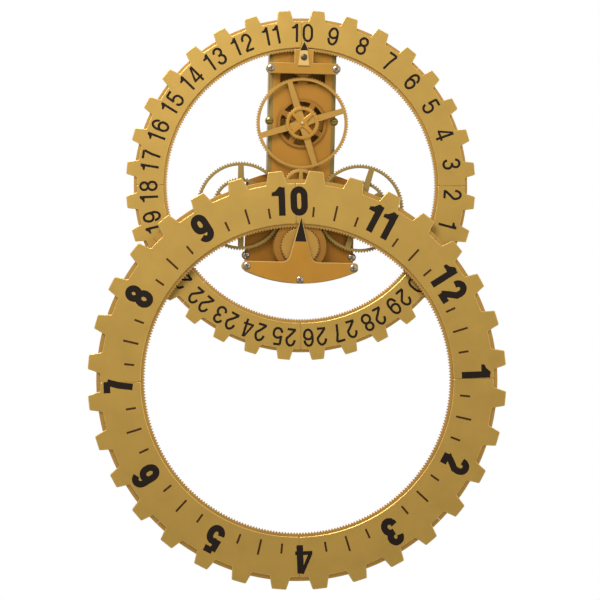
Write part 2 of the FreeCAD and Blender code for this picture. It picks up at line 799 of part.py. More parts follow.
cell_reach = "(cell_length + cell_nub_length)"
contact_solids = []
for side, near, far in (
    ("left", "-(bay_half_length - bay_wall)", "-(bay_half_length - bay_wall) + contact_leaf"),
    ("right", "bay_half_length - bay_wall - contact_leaf", "bay_half_length - bay_wall"),
):
    leaf = block(side + "_leaf", near, far, "housing_back_wall + contact_rear_room",
                 "housing_depth - contact_front_room",
                 "bay_axis - contact_half_height", "bay_axis + contact_half_height")
    if side == "left":
        reach = along("left_spring", "cell_nub_radius", near, "-" + cell_reach, cell_depth, "bay_axis")
    else:
        reach = along("right_spring", "cell_nub_radius", cell_reach, far, cell_depth, "bay_axis")
    contact_solids.append(joined(side + "_contact", leaf, reach))
keep("battery_contacts", group("contacts", contact_solids))

case_block = block(
    "case_block",
    "minute_across - case_shift - case_width / 2", "minute_across - case_shift + case_width / 2",
    "housing_depth - case_depth", "housing_depth", "case_low", "body_top - case_headroom",
)
case_holes = [
    rod("case_minute_bore", "bearing_bore", "0", "housing_depth + cut_overshoot",
        "minute_across", "minute_axis"),
    rod("case_date_bore", "bearing_bore", "body_plate_depth - drive_arbor_depth - cut_overshoot",
        "housing_depth + cut_overshoot", "0", "date_drive_axis"),
]
keep("movement_case", cut("case_cut", case_block, *case_holes))

plate_front = "body_plate_depth + plate_thickness"
front_barrel = barrel("front_barrel", "body_half_width", "0", "body_plate_depth", plate_front)
raised = []
plate_holes = []
for side, sign in BOTH:
    raised.append(rod(side + "_screw_ear", "screw_head_radius + screw_ear_margin", "body_plate_depth",
                      plate_front, sign + "lower_screw_offset", "body_screw_axis"))
    raised.append(rod(side + "_pillar_ear", "pillar_radius + pillar_ear_margin", "body_plate_depth",
                      plate_front, sign + "lower_screw_offset", "lower_screw_axis"))
    raised.append(rod(side + "_wheel_ear", "side_ear_radius", "body_plate_depth", plate_front,
                      sign + "side_wheel_offset", "side_axis"))
    raised.append(rod(side + "_wheel_boss", "boss_radius", "body_plate_depth - side_wheel_boss_length",
                      "side_gear_depth - end_play", sign + "side_wheel_offset", "side_axis"))
    plate_holes.append(rod(side + "_wheel_bearing", "bearing_bore",
                           "body_plate_depth - side_wheel_boss_length - cut_overshoot",
                           "side_gear_depth", sign + "side_wheel_offset", "side_axis"))
    plate_holes.append(rod(side + "_screw_hole", "screw_shank_radius", "body_plate_depth - cut_overshoot",
                           plate_front + " + cut_overshoot", sign + "lower_screw_offset",
                           "body_screw_axis"))
for name, across, up in (
    ("pinion", "0", "pinion_axis"),
    ("date_drive", "0", "date_drive_axis"),
    ("minute", "minute_across", "minute_axis"),
):
    if name != "date_drive":
        raised.append(rod(name + "_boss", "boss_radius", "body_plate_depth",
                          plate_front + " + bearing_boss_height", across, up))
    plate_holes.append(rod(name + "_bearing", "bearing_bore", "body_plate_depth - cut_overshoot",
                           plate_front + " + bearing_boss_height + cut_overshoot", across, up))
keep("body_front_plate", cut(
    "front_plate_cut", joined("front_plate", front_barrel, *raised), *plate_holes,
))


# Column: a channel that hangs on the wall hook, closed by its own front plate

column_outer = block("column_outer", "-column_half_width", "column_half_width", "0",
                     "column_plate_depth", "top_arc_centre", "column_high")
column_inner = block(
    "column_inner", "-(column_half_width - column_wall)", "column_half_width - column_wall",
    "column_wall", "column_plate_depth + cut_overshoot", "top_arc_centre - cut_overshoot",
    "column_high - column_wall",
)
column_foot = rod("column_foot", "body_arc_radius", "-cut_overshoot", "column_plate_depth + cut_overshoot",
                  "0", "top_arc_centre")
keyhole = rod("keyhole", "keyhole_radius", "-cut_overshoot", "column_wall + cut_overshoot")
keyhole_slot = joined(
    "keyhole_slot",
    block("slot_straight", "-keyhole_slot_width / 2", "keyhole_slot_width / 2", "-cut_overshoot",
          "column_wall + cut_overshoot", "0", "keyhole_slot_length"),
    rod("slot_end", "keyhole_slot_width / 2", "-cut_overshoot", "column_wall + cut_overshoot",
        "0", "keyhole_slot_length"),
)
channel_walls = cut("channel_walls", column_outer, column_inner, column_foot)
side_bosses = [
    rod(side + "_side_boss", "screw_head_radius + side_ear_margin",
        "column_plate_depth - side_boss_length", "column_plate_depth",
        sign + "side_screw_across", "side_screw_axis")
    for side, sign in BOTH
]
side_threads = [
    rod(side + "_side_thread", "screw_shank_radius",
        "column_plate_depth + plate_thickness - screw_length", "column_plate_depth + cut_overshoot",
        sign + "side_screw_across", "side_screw_axis")
    for side, sign in BOTH
]
keep("column_channel", cut(
    "channel_cut", joined("channel_with_bosses", channel_walls, *side_bosses),
    keyhole, keyhole_slot, *side_threads,
))

pillar_ears = [
    rod(side + "_pillar_seat", "pillar_radius + pillar_ear_margin", "column_plate_depth", column_front,
        sign + "bridge_screw_offset", "bridge_axis")
    for side, sign in BOTH
]
column_plate = joined(
    "column_plate",
    block("column_plate_block", "-column_half_width", "column_half_width", "column_plate_depth",
          column_front, "column_low", "column_high"),
    *pillar_ears,
    *[
        rod(side + "_side_ear", "screw_head_radius + side_ear_margin", "column_plate_depth",
            column_front, sign + "side_screw_across", "side_screw_axis")
        for side, sign in BOTH
    ],
)
behind_plate = "column_plate_depth - cut_overshoot"
before_plate = column_front + " + cut_overshoot"
column_openings = [
    rod("rear_gear_window", "side_window_radius", behind_plate, before_plate, "0", "date_wheel_axis"),
    rod("idler_hole", "bearing_bore", behind_plate, before_plate, "0", "idler_axis"),
    rod("drive_bearing", "bearing_bore", behind_plate, before_plate, "0", "date_drive_axis"),
]
for side, left, right in (
    ("left", "-idler_window_outer", "-idler_window_inner"),
    ("right", "idler_window_inner", "idler_window_outer"),
):
    column_openings.append(block(
        side + "_idler_window", left, right, behind_plate, before_plate,
        "idler_axis - idler_window_low", "idler_axis - idler_window_high",
    ))
column_openings += [
    rod(side + "_side_hole", "screw_shank_radius", behind_plate, before_plate,
        sign + "side_screw_across", "side_screw_axis")
    for side, sign in BOTH
]
keep("column_front_plate", cut("column_plate_cut", column_plate, *column_openings))


def bearing_bar(label, axis):
    """Bar across the channel with a long bearing boss."""
    bar = block(label + "_bar", "-(column_half_width - column_wall)", "column_half_width - column_wall",
                "bearing_bar_depth", "bearing_bar_depth + plate_thickness",
                axis + " - bearing_bar_height / 2", axis + " + bearing_bar_height / 2")
    boss = rod(label + "_boss", "boss_radius", "bearing_bar_depth", "bearing_bar_depth + bar_boss_length",
               "0", axis)
    bore = rod(label + "_bore", "bearing_bore", "bearing_bar_depth - cut_overshoot",
               "bearing_bar_depth + bar_boss_length + cut_overshoot", "0", axis)
    return keep(label, cut(label + "_cut", joined(label + "_solid", bar, boss), bore))


bearing_bar("date_wheel_bearing_bar", "date_wheel_axis")
bearing_bar("idler_bearing_bar", "idler_axis")


# Upper bridge with the date pointer

bridge_front = "bridge_depth + plate_thickness"
pointer_screw_axis = "bridge_axis + bridge_height / 2 + pointer_screw_rise"
behind_bridge = "bridge_depth - cut_overshoot"
before_bridge = bridge_front + " + cut_overshoot"
bridge_holes = [
    rod("bridge_bearing", "bearing_bore", behind_bridge, before_bridge, "0", "idler_axis"),
    rod("pointer_screw_hole", "screw_shank_radius", behind_bridge, before_bridge,
        "0", pointer_screw_axis),
]
bridge_holes += [
    rod(side + "_bridge_hole", "screw_shank_radius", behind_bridge, before_bridge,
        sign + "bridge_screw_offset", "bridge_axis")
    for side, sign in BOTH
]
bridge_ears = [
    rod(side + "_bridge_ear", "screw_head_radius + screw_ear_margin", "bridge_depth", bridge_front,
        sign + "bridge_screw_offset", "bridge_axis")
    for side, sign in BOTH
]
bridge_bar = block("bridge_bar", "-bridge_half_width", "bridge_half_width", "bridge_depth", bridge_front,
                   "bridge_axis - bridge_height / 2", "bridge_axis + bridge_height / 2")
bridge_tab = block("bridge_tab", "-bridge_tab_half_width", "bridge_tab_half_width", "bridge_depth",
                   bridge_front, "bridge_axis", "bridge_axis + bridge_height / 2 + bridge_tab_rise")
bridge_solid = joined("bridge_solid", bridge_bar, bridge_tab, *bridge_ears)
keep("upper_bridge", cut("bridge_cut", bridge_solid, *bridge_holes))


def pillar(name, rear, front, across, up):
    """Post with a blind screw hole in its front end."""
    return cut(
        name,
        rod(name + "_post", "pillar_radius", rear, front, across, up),
        rod(name + "_thread", "screw_shank_radius", "(%s) - screw_length" % front,
            "(%s) + cut_overshoot" % front, across, up),
    )


def screw(name, seat, across, up):
    """Pan-head screw whose head rests on a surface at the seat depth."""
    return joined(
        name,
        rod(name + "_head", "screw_head_radius", seat, "(%s) + screw_head_height" % seat, across, up),
        rod(name + "_shank", "screw_shank_radius", "(%s) - screw_length" % seat, seat, across, up),
    )


keep("bridge_pillars", group("bridge_pillar_group", [
    pillar(side + "_bridge_pillar", column_front, "bridge_depth", sign + "bridge_screw_offset",
           "bridge_axis")
    for side, sign in BOTH
]))
keep("bridge_screws", group("bridge_screw_group", [
    screw(side + "_bridge_screw", bridge_front, sign + "bridge_screw_offset", "bridge_axis")
    for side, sign in BOTH
]))


def plate_body(name, edges, thickness_cell):
    """Flat piece padded from a sketch in the plane of the dials, towards the viewer."""
    body = doc.addObject("PartDesign::Body", name)
    sketch = body.newObject("Sketcher::SketchObject", name + "_outline")
    plane = [origin for origin in body.Origin.OriginFeatures if origin.Role == "XZ_Plane"][0]
    sketch.AttachmentSupport = [(plane, "")]
    sketch.MapMode = "FlatFace"
    sketch.addGeometry(edges, False)
    doc.recompute()
    pad = body.newObject("PartDesign::Pad", name + "_pad")
    pad.Profile = sketch
    pad.setExpression("Length", cells(thickness_cell))
    return body


def flat(across, up):
    """Point of a sketch."""
    return FreeCAD.Vector(across, up, 0)


def lines(*points):
    """Straight edges from point to point."""
    return [Part.LineSegment(near, far) for near, far in zip(points, points[1:])]


def round_hole(radius, across, up):
    """Round hole of a sketch."""
    return Part.Circle(flat(across, up), FreeCAD.Vector(0, 0, 1), radius)


def date_pointer_outline():
    """Tapered stem that ends in a broader arrow, and the hole for its screw."""
    base = value("bridge_height") / 2 - value("pointer_lap")
    apex = base + value("date_pointer_length")
    barb = apex - value("date_arrow_length")
    half_base = value("date_pointer_half_base")
    half_arrow = value("date_arrow_half_base")
    screw_axis = value("bridge_height") / 2 + value("pointer_screw_rise")
    outline = lines(
        flat(-half_base, base), flat(half_base, base), flat(half_arrow, barb),
        flat(0, apex), flat(-half_arrow, barb), flat(-half_base, base),
    )
    return outline + [round_hole(value("screw_shank_radius"), 0, screw_axis)]


date_pointer = plate_body("date_pointer_plate", date_pointer_outline(), "date_pointer_thickness")
keep("date_pointer", place(date_pointer, "0", bridge_front, "bridge_axis"))
pointer_front = bridge_front + " + date_pointer_thickness"
keep("date_pointer_screw", joined(
    "pointer_screw",
    rod("pointer_screw_head", "pointer_screw_radius", pointer_front,
        pointer_front + " + pointer_screw_height", "0", pointer_screw_axis),
    rod("pointer_screw_shank", "screw_shank_radius", "bridge_depth", pointer_front,
        "0", pointer_screw_axis),
))


# Lower plate with the hour pointer


def lower_plate_outline():
    """Boat-shaped plate with a filleted pointer rising from its straight edge."""
    radius = value("body_arc_radius")
    corner = value("lower_plate_corner")
    half = value("lower_plate_half_width")
    top = value("lower_plate_top") - value("pinion_axis")
    bottom = -value("body_bottom_below_pinion")
    centre = bottom + radius
    slope = math.radians(value("pointer_slope"))
    apex = value("pointer_above_pinion")
    fillet = value("pointer_root_fillet")
    reach = fillet / math.tan((math.pi / 2 + slope) / 2)
    foot = (apex - top) * math.tan(slope)
    side_x = half - corner
    low_z = centre - math.sqrt((radius - corner) ** 2 - side_x ** 2)
    turn = math.atan2(side_x, centre - low_z)
    touch = flat(radius * math.sin(turn), centre - radius * math.cos(turn))
    edges = []
    for side in (1, -1):

        def at(across, up):
            return flat(side * across, up)

        leave = at(foot + reach, top)
        join = at(foot - reach * math.sin(slope), top + reach * math.cos(slope))
        middle_turn = (math.pi / 2 - slope) / 2
        middle = at(
            foot + reach - fillet * math.sin(middle_turn), top + fillet - fillet * math.cos(middle_turn)
        )
        edges.append(Part.LineSegment(at(0, apex), join))
        edges.append(Part.Arc(join, middle, leave))
        edges.append(Part.LineSegment(leave, at(side_x, top)))
        edges.append(Part.Arc(
            at(side_x, top),
            at(side_x + corner * math.cos(math.pi / 4), top - corner + corner * math.sin(math.pi / 4)),
            at(half, top - corner),
        ))
        edges.append(Part.LineSegment(at(half, top - corner), at(half, low_z)))
        middle_corner = turn / 2
        edges.append(Part.Arc(
            at(half, low_z),
            at(side_x + corner * math.cos(middle_corner - math.pi / 4),
               low_z + corner * math.sin(middle_corner - math.pi / 4)),
            at(touch.x, touch.y),
        ))
    edges.append(Part.Arc(flat(touch.x, touch.y), flat(0, bottom), flat(-touch.x, touch.y)))
    return edges


screw_hole = value("screw_shank_radius")
lower_plate = plate_body(
    "hour_pointer_pad",
    lower_plate_outline() + [
        round_hole(screw_hole, across, value(cell) - value("pinion_axis"))
        for across, cell in (
            (-value("lower_screw_offset"), "lower_screw_axis"),
            (value("lower_screw_offset"), "lower_screw_axis"),
            (0, "centre_screw_axis"),
        )
    ],
    "plate_thickness",
)
place(lower_plate, "0", "pointer_depth", "pinion_axis")
pointer_boss = cut(
    "pointer_boss",
    rod("pointer_boss_outside", "pointer_boss_radius", "hour_front_depth", "pointer_depth",
        "0", "pinion_axis"),
    rod("pointer_bearing", "bearing_bore", "hour_front_depth - cut_overshoot", "pointer_depth",
        "0", "pinion_axis"),
)
keep("hour_pointer_plate", joined("pointer_plate_solid", lower_plate, pointer_boss))

LOWER_SCREWS = (
    ("left", "-lower_screw_offset", "lower_screw_axis"),
    ("right", "lower_screw_offset", "lower_screw_axis"),
    ("centre", "0", "centre_screw_axis"),
)
keep("lower_pillars", group("lower_pillar_group", [
    pillar(name + "_lower_pillar", plate_front, "pointer_depth", across, up)
    for name, across, up in LOWER_SCREWS
]))
keep("lower_plate_screws", group("lower_screw_group", [
    screw(name + "_lower_screw", "pointer_depth + plate_thickness", across, up)
    for name, across, up in LOWER_SCREWS
]))
keep("body_plate_screws", group("body_screw_group", [
    screw(side + "_body_screw", plate_front, sign + "lower_screw_offset", "body_screw_axis")
    for side, sign in BOTH
]))
keep("column_side_screws", group("side_screw_group", [
    screw(side + "_side_screw", column_front, sign + "side_screw_across", "side_screw_axis")
    for side, sign in BOTH
]))


# Every object has to be sound before anything is written

doc.recompute()
for thing in doc.Objects:
    if "Invalid" in thing.State or "Error" in thing.State:
        raise RuntimeError("%s failed: %s" % (thing.Label, thing.State))

os.makedirs("parts", exist_ok=True)
for label, thing in sorted(parts.items()):
    shape = thing.Shape
    if shape.isNull() or not shape.isValid() or not shape.Solids:
        raise RuntimeError("%s has no sound shape" % label)
    shape.exportStep("parts/%s.step" % label)
print("%d sub-parts written" % len(parts))
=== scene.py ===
# Looks of the moving-gear wall clock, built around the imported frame. Metres.
import json
import math

import bmesh
import bpy
from mathutils import Matrix, Vector
from mathutils.geometry import delaunay_2d_cdt


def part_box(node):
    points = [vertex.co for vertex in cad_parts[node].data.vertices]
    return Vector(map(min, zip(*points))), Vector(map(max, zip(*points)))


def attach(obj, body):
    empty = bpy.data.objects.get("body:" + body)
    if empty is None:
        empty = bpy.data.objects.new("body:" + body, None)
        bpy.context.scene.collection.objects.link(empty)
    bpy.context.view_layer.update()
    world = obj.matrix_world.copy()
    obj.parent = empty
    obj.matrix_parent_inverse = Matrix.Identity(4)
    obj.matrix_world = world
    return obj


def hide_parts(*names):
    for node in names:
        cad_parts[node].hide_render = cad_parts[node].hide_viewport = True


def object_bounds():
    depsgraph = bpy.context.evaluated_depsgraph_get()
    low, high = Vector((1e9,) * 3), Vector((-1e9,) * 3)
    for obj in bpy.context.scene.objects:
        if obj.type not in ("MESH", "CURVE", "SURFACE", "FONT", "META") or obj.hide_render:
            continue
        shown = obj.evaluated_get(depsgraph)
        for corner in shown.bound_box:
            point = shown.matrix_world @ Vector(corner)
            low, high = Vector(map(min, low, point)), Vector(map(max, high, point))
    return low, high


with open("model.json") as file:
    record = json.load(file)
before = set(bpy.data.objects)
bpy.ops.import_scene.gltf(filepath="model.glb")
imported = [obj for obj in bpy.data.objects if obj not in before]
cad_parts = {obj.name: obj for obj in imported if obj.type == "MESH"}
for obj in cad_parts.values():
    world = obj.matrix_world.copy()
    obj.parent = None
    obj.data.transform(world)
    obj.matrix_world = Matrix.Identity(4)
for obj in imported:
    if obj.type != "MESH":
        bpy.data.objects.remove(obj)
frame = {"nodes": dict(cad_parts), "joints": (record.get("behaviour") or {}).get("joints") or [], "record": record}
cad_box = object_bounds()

MM = 0.001

# Places and names read from the frame
JOINTS = {joint["name"]: joint for joint in frame["joints"]}
HOUR_AXIS = JOINTS["hour_ring_turn"]["pos_m"][2]
DATE_AXIS = JOINTS["date_ring_turn"]["pos_m"][2]
HOUR_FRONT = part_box("hour_ring_face_1")[0].y
DATE_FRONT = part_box("date_ring_face_1")[0].y
PINION_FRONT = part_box("hour_pinion")[0].y
SIDE_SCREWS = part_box("column_side_screws")
SLOT_OF = {entry["node"]: entry["material_slot"] for entry in frame["record"]["subparts"]}
BODY_OF = {
    node: body
    for body, members in frame["record"]["behaviour"]["bodies"].items()
    for node in members
}


# Materials

NOISE_LOW = 0.3
NOISE_HIGH = 0.7
GRAIN_DEPTH = 0.2 * MM


def linear(red, green, blue):
    """A colour given as 0 to 255 screen values, for a shader."""
    def channel(value):
        value /= 255
        return value / 12.92 if value <= 0.04045 else ((value + 0.055) / 1.055) ** 2.4
    return [channel(red), channel(green), channel(blue)]


def surface(name, color, metallic, roughness, variation=0.05, patch=30.0, grain=1400.0, relief=0.02,
            stretch=(1.0, 1.0, 1.0), spread=0.05, coat=0.0, specular=0.5):
    """Painted, moulded or metal finish: slow colour patches, fine grain and a matching roughness."""
    material = bpy.data.materials.new(name)
    material.use_nodes = True
    nodes = material.node_tree.nodes
    links = material.node_tree.links
    shader = nodes["Principled BSDF"]
    shader.inputs["Metallic"].default_value = metallic
    shader.inputs["Coat Weight"].default_value = coat
    shader.inputs["Specular IOR Level"].default_value = specular
    place = nodes.new("ShaderNodeTexCoord")
    mapping = nodes.new("ShaderNodeMapping")
    mapping.inputs["Scale"].default_value = stretch
    links.new(place.outputs["Object"], mapping.inputs["Vector"])
    slow = nodes.new("ShaderNodeTexNoise")
    slow.inputs["Scale"].default_value = patch
    slow.inputs["Detail"].default_value = 3.0
    fine = nodes.new("ShaderNodeTexNoise")
    fine.inputs["Scale"].default_value = grain
    fine.inputs["Detail"].default_value = 2.0
    for noise in (slow, fine):
        links.new(mapping.outputs["Vector"], noise.inputs["Vector"])
    ramp = nodes.new("ShaderNodeValToRGB")
    dark, light = ramp.color_ramp.elements
    dark.position = NOISE_LOW
    light.position = NOISE_HIGH
    dark.color = [value * (1 - variation) for value in linear(*color)] + [1.0]
    light.color = [min(1.0, value * (1 + variation)) for value in linear(*color)] + [1.0]
    links.new(slow.outputs["Fac"], ramp.inputs["Fac"])
    links.new(ramp.outputs["Color"], shader.inputs["Base Color"])
    levels = nodes.new("ShaderNodeMapRange")
    levels.inputs["From Min"].default_value = NOISE_LOW
    levels.inputs["From Max"].default_value = NOISE_HIGH
    levels.inputs["To Min"].default_value = roughness - spread
    levels.inputs["To Max"].default_value = roughness + spread
    links.new(fine.outputs["Fac"], levels.inputs["Value"])
    links.new(levels.outputs["Result"], shader.inputs["Roughness"])
    bump = nodes.new("ShaderNodeBump")
    bump.inputs["Strength"].default_value = relief
    bump.inputs["Distance"].default_value = GRAIN_DEPTH
    links.new(fine.outputs["Fac"], bump.inputs["Height"])
    links.new(bump.outputs["Normal"], shader.inputs["Normal"])
    return material


SATIN = {"specular": 0.2}
POLISHED = {"spread": 0.03}
BRUSHED = {"stretch": (1.0, 0.1, 1.0)}
PRINTED = {"variation": 0.08, "specular": 0.15}

# Screen colour, metallic, roughness, and the settings that differ from the usual ones
FINISHES = {
    "dial_gold": ((182, 145, 68), 0.30, 0.42, SATIN),
    "wheel_gold": ((146, 120, 62), 0.60, 0.36, SATIN),
    "bright_gold": ((206, 170, 104), 0.60, 0.30, SATIN),
    "gear_gold": ((174, 132, 62), 0.60, 0.34, SATIN),
    # Painted shade: darker gold for gears set back behind the column plate and for the pinion behind its front
    "shaded_gold": ((150, 103, 40), 0.60, 0.38, SATIN),
    "plate_gold": ((177, 125, 46), 0.60, 0.36, SATIN),
    "bridge_gold": ((166, 121, 47), 0.60, 0.36, SATIN),
    "column_gold": ((164, 114, 42), 0.60, 0.38, SATIN),
    # Painted shade and dark reflection on the column plate's sloped sides
    "side_shade_gold": ((124, 104, 54), 0.60, 0.38, SATIN),
    # Painted shade: darker gold for the body plate, which lies in the hour ring's shadow
    "shaded_body_gold": ((150, 98, 30), 0.60, 0.40, SATIN),
    # Painted highlight: paler gold for bevelled rims, where the edges catch the light
    "highlight_gold": ((216, 178, 102), 0.60, 0.28, SATIN),
    "steel": ((180, 160, 120), 1.0, 0.3, BRUSHED),
    "screw_chrome": ((150, 138, 122), 1.0, 0.16, POLISHED),
    # Painted shade and dark reflection on screw rims, recess walls and the back of the heads
    "shaded_screw_rim": ((84, 72, 50), 1.0, 0.24, POLISHED),
    "dark_screw": ((74, 64, 48), 0.9, 0.3, {}),
    "olive_screw": ((128, 108, 52), 0.95, 0.22, {}),
    "movement_black": ((38, 38, 40), 0.0, 0.55, {"relief": 0.2, "grain": 2500.0}),
    "cell_jacket": ((90, 94, 98), 0.3, 0.3, {"coat": 0.4}),
    "contact_metal": ((205, 205, 200), 1.0, 0.25, {}),
    "knob_black": ((36, 36, 36), 0.0, 0.5, {"relief": 0.15}),
    "ink": ((30, 20, 12), 0.0, 0.7, PRINTED),
    "tick_ink": ((72, 40, 16), 0.0, 0.7, PRINTED),
}
MATERIALS = {
    name: surface(name, color, metallic, roughness, **settings)
    for name, (color, metallic, roughness, settings) in FINISHES.items()
}

# Nodes that show another finish than the one their slot names
FINISH_OF = {
    # Painted shade on the body plate and the rear housing
    "body_front_plate": "shaded_body_gold",
    "rear_housing": "shaded_body_gold",
    "column_front_plate": "column_gold",
    "column_channel": "column_gold",
    "column_side_screws": "olive_screw",
    "upper_bridge": "bridge_gold",
    "date_pointer": "bright_gold",
    "left_wheel": "wheel_gold",
    "right_wheel": "wheel_gold",
    "left_wheel_gear": "wheel_gold",
    "right_wheel_gear": "wheel_gold",
    "date_wheel_front_gear": "plate_gold",
    # Painted shade on the gears set back behind the column plate
    "date_wheel_rear_gear": "shaded_gold",
    "date_idler_gear": "shaded_gold",
    "hour_train_gear": "shaded_gold",
}


def finish_of(node):
    """The material that a node shows."""
    return FINISH_OF.get(node, SLOT_OF[node])


def dress(thing, material):
    """Give a piece or a node its material."""
    if thing.material_slots:
        for holder in thing.material_slots:
            holder.material = MATERIALS[material]
    else:
        thing.data.materials.append(MATERIALS[material])


def tint_faces(piece, chosen, material):
    """Give the faces that a test picks a finish of their own."""
    mesh = piece.data
    mesh.materials.append(MATERIALS[material])
    last = len(mesh.materials) - 1
    for face in mesh.polygons:
        if chosen(face):
            face.material_index = last


# Pieces made from meshes

MERGE_DISTANCE = 0.002 * MM
SHARP_ANGLE = math.radians(30.0)


def finish_mesh(name, bm):
    """Object from a bmesh, smooth but for its sharp edges, with flat faces kept flat."""
    mesh = bpy.data.meshes.new(name)
    for face in bm.faces:
        face.smooth = True
    bm.to_mesh(mesh)
    bm.free()
    mesh.set_sharp_from_angle(angle=SHARP_ANGLE)
    thing = bpy.data.objects.new(name, mesh)
    bpy.context.scene.collection.objects.link(thing)
    weights = thing.modifiers.new("flat_faces", "WEIGHTED_NORMAL")
    weights.weight = 100
    weights.keep_sharp = True
    return thing


def stands_for(piece, node):
    """Put a piece in the place of a CAD node, on its body and in its finish."""
    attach(piece, BODY_OF[node])
    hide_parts(node)
    dress(piece, finish_of(node))


def node_mesh(node):
    """Mesh of a CAD node to work on, with the points of its triangles joined."""
    bm = bmesh.new()
    bm.from_mesh(frame["nodes"][node].data)
    bmesh.ops.remove_doubles(bm, verts=bm.verts, dist=MERGE_DISTANCE)
    return bm


# Sub-parts with their moulded edges

FLAT_ANGLE = math.radians(0.4)
CORNER_ANGLE = math.radians(35)
RIM_ANGLE = math.radians(60)
CORNER_STEPS = 4
PARALLEL = 0.999
ANY_LENGTH = 1.0
TOUCHING = 0.01 * MM
CUT_DISTANCE = 1e-6


def along_depth(edge):
    """Whether an edge runs from front to back."""
    line = (edge.verts[0].co - edge.verts[1].co).normalized()
    return abs(line.y) > PARALLEL


def fold(edge):
    """Angle between the two faces of an edge."""
    return edge.calc_face_angle(0.0) if len(edge.link_faces) == 2 else 0.0


def softened(node, rim, corner=0.0, steps=2, longest=ANY_LENGTH, shape=None, bright=False):
    """Copy of a node with rounded rims, and rounded corners where they stand along the depth.

    Edges over the longest length stay sharp, as at the seams of the rings. Bright rims have a
    paler gold, which is painted highlight, and a smoother roughness than the rest.
    """
    bm = node_mesh(node)
    bmesh.ops.dissolve_limit(bm, angle_limit=FLAT_ANGLE, verts=bm.verts, edges=bm.edges)
    if shape is not None:
        shape(bm)
    if corner:
        edges = [edge for edge in bm.edges if along_depth(edge) and fold(edge) > CORNER_ANGLE]
        bmesh.ops.bevel(
            bm, geom=edges, offset=corner, segments=CORNER_STEPS, profile=0.5, affect="EDGES",
            clamp_overlap=True,
        )
    edges = [
        edge for edge in bm.edges
        if not along_depth(edge) and fold(edge) > RIM_ANGLE and edge.calc_length() < longest
    ]
    for face in bm.faces:
        face.material_index = 0
    bmesh.ops.bevel(
        bm, geom=edges, offset=rim, segments=steps, profile=0.5, affect="EDGES", clamp_overlap=False,
        material=1 if bright else -1,
    )
    piece = finish_mesh(node + "_finished", bm)
    stands_for(piece, node)
    # Bright rims take the painted highlight gold
    if bright:
        piece.data.materials.append(MATERIALS["highlight_gold"])
    return piece


# Rings and gears

SEGMENTS = range(1, 5)
SEAM_LENGTH = 30 * MM
HOUR_FACE_RIM = 0.9 * MM
HOUR_FACE_CORNER = 1.6 * MM
DATE_FACE_RIM = 0.7 * MM
DATE_FACE_CORNER = 1.4 * MM
TOOTH_RIM = 0.3 * MM
BRIGHT_TOOTH_RIM = 0.5 * MM
FLANGE_DEPTH = 1.0 * MM

for number in SEGMENTS:
    softened(
        "hour_ring_face_%d" % number, HOUR_FACE_RIM, corner=HOUR_FACE_CORNER, longest=SEAM_LENGTH,
        bright=True,
    )
    softened(
        "date_ring_face_%d" % number, DATE_FACE_RIM, corner=DATE_FACE_CORNER, longest=SEAM_LENGTH,
        bright=True,
    )
    softened("hour_ring_back_%d" % number, TOOTH_RIM)
    softened("date_ring_back_%d" % number, TOOTH_RIM)
for node in ("left_wheel", "right_wheel", "left_wheel_gear", "right_wheel_gear", "date_wheel",
             "date_wheel_rear_gear", "date_idler_gear", "hour_train_gear", "minute_pinion"):
    softened(node, TOOTH_RIM, steps=1)
for node in ("date_wheel_front_gear", "date_drive_gear"):
    softened(node, BRIGHT_TOOTH_RIM, steps=1, bright=True)
pinion = softened("hour_pinion", BRIGHT_TOOTH_RIM, steps=1, bright=True)
# Painted shade: the pinion darker behind its front millimetre
tint_faces(pinion, lambda face: face.center.y > PINION_FRONT + FLANGE_DEPTH, "shaded_gold")


# Plates, casings, pointers and arbors

COLUMN_RIM = 0.5 * MM
COLUMN_HALF = 46.6 * MM
SLOPE_WIDTH = 6 * MM
SLOPE_DROP = 2.2 * MM
SLOPE_ROOM = 3 * MM
FLAT_HALF = COLUMN_HALF - SLOPE_WIDTH
PLATE_RIM = 0.7 * MM
POINTER_RIM = 1.2 * MM
CASING_RIM = 0.8 * MM
ARBOR_RIM = 0.7 * MM


def cut_across(bm, place, direction):
    """Divide the faces of a mesh along a plane."""
    geometry = list(bm.verts) + list(bm.edges) + list(bm.faces)
    bmesh.ops.bisect_plane(bm, geom=geometry, dist=CUT_DISTANCE, plane_co=place, plane_no=direction)


def slope_sides(bm):
    """Slope the column plate's sides away from the viewer, above and below its side screws."""
    low = SIDE_SCREWS[0].z - SLOPE_ROOM
    high = SIDE_SCREWS[1].z + SLOPE_ROOM
    for side in (-1, 1):
        cut_across(bm, (side * FLAT_HALF, 0, 0), (1, 0, 0))
    for level in (low, high):
        cut_across(bm, (0, 0, level), (0, 0, 1))
    front = min(vert.co.y for vert in bm.verts)
    for vert in bm.verts:
        outside = abs(vert.co.x) - FLAT_HALF
        clear = vert.co.z < low - TOUCHING or vert.co.z > high + TOUCHING
        if vert.co.y < front + TOUCHING and outside > TOUCHING and clear:
            vert.co.y += SLOPE_DROP * min(1.0, outside / SLOPE_WIDTH)


column = softened("column_front_plate", COLUMN_RIM, shape=slope_sides)
# Painted shade and dark reflection on the sloped sides of the column plate
tint_faces(column, lambda face: abs(face.center.x) > FLAT_HALF, "side_shade_gold")
softened("body_front_plate", PLATE_RIM)
softened("upper_bridge", PLATE_RIM, steps=1, bright=True)
for node in ("hour_pointer_plate", "date_pointer"):
    softened(node, POINTER_RIM, steps=1, bright=True)
for node in ("rear_housing", "column_channel"):
    softened(node, CASING_RIM)
for node in ("date_wheel_arbor", "left_wheel_arbor", "right_wheel_arbor", "date_drive_arbor",
             "date_idler_arbor", "hour_pinion_arbor"):
    softened(node, ARBOR_RIM, steps=3)


# Pan-head screws with a driver's recess

HEAD_HEIGHT = 2 * MM
POINTER_HEAD_HEIGHT = 1.4 * MM
SHANK_RADIUS = 2 * MM
SCREW_SIDES = 40
DOME_STEP = 9
QUARTER_TURN = 90

